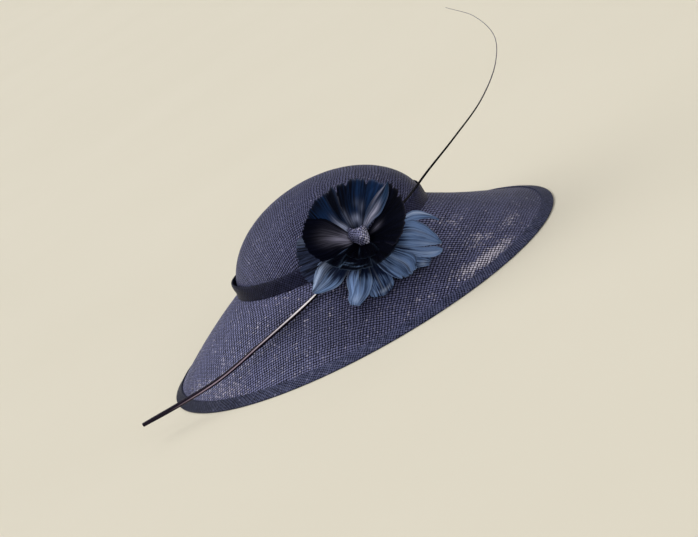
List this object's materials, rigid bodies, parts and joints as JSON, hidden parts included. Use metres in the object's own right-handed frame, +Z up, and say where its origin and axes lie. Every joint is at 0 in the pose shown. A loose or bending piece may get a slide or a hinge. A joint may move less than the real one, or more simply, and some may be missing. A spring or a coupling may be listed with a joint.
{
  "type": "wide-brim occasion hat",
  "caption": "Wide-brim woven straw dress hat with a dome crown, a dark crown band, a bound wired brim edge, a feather flower and a long curled quill.",
  "frame": {"origin": "centre of the head-size line, where the crown meets the brim", "axes": "+Z up through the top of the crown, -Y towards the wearer's front, -X towards the wearer's right, where the trim sits"},
  "size_m": [0.3798, 0.4349, 0.2106],
  "materials": {
    "navy_sinamay": "open woven straw, soft satin",
    "dark_sinamay": "folded bias straw, matt",
    "binding_sinamay": "folded bias straw, ribbed, soft satin",
    "petersham": "ribbed ribbon, matt",
    "millinery_wire": "thread-covered steel wire",
    "black_feather": "stripped feather, silky",
    "blue_feather": "trimmed feather, silky barbs",
    "quill": "stripped feather shaft, polished",
    "felt": "matt felt",
    "thread": "sewing thread"
  },
  "bodies": {
    "root": {"crown_outer_ply": "navy_sinamay", "crown_inner_ply": "navy_sinamay", "brim_outer_ply": "navy_sinamay", "brim_inner_ply": "navy_sinamay", "head_ribbon": "petersham", "crown_band": "dark_sinamay", "brim_edge_binding": "binding_sinamay", "brim_edge_wire": "millinery_wire", "under_petal_1": "blue_feather", "under_petal_2": "blue_feather", "under_petal_3": "blue_feather", "under_petal_4": "blue_feather", "under_petal_5": "blue_feather", "under_petal_6": "blue_feather", "under_petal_7": "blue_feather", "under_petal_8": "blue_feather", "under_petal_9": "blue_feather", "under_petal_10": "blue_feather", "cup_petal_1": "black_feather", "cup_petal_2": "black_feather", "cup_petal_3": "black_feather", "cup_petal_4": "black_feather", "cup_petal_5": "black_feather", "cup_petal_6": "black_feather", "cup_petal_7": "black_feather", "cup_petal_8": "black_feather", "flower_base": "felt", "flower_stem": "thread", "button_core": "felt", "button_cover": "navy_sinamay", "quill": "quill", "quill_tack_1": "thread", "quill_tack_2": "thread"}
  },
  "joints": []
}
